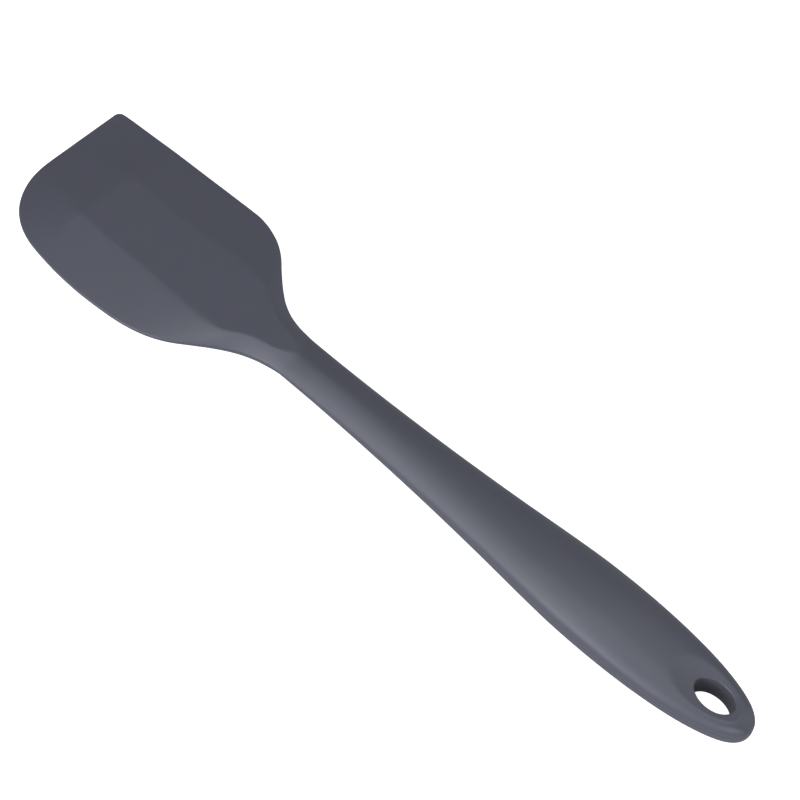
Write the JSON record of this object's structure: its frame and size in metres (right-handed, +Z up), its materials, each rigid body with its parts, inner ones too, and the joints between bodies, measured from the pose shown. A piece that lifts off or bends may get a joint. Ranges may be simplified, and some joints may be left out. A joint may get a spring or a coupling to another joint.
{
  "type": "silicone spatula",
  "caption": "one-piece silicone scraper spatula with a flat asymmetric blade, one rounded tip corner, tapered grip and oval hanging hole, stiffened by a hidden steel strip",
  "frame": {"origin": "on the handle's centre line, half way between the hanging end and the blade's tip, at the lowest level that the spatula reaches when its faces lie level", "axes": "+X runs along the handle to the hanging end, so the blade's tip points to -X; +Y is the side of the blade's straight edge; +Z is up, square to the blade's faces"},
  "size_m": [0.28, 0.0583, 0.0142],
  "materials": {
    "silicone": "matte slate-grey silicone rubber, moulded in one piece, fine satin texture",
    "core_steel": "stamped stainless strip, brushed, buried in the silicone"
  },
  "bodies": {
    "root": {"silicone_body": "silicone", "steel_core": "core_steel"}
  },
  "joints": []
}
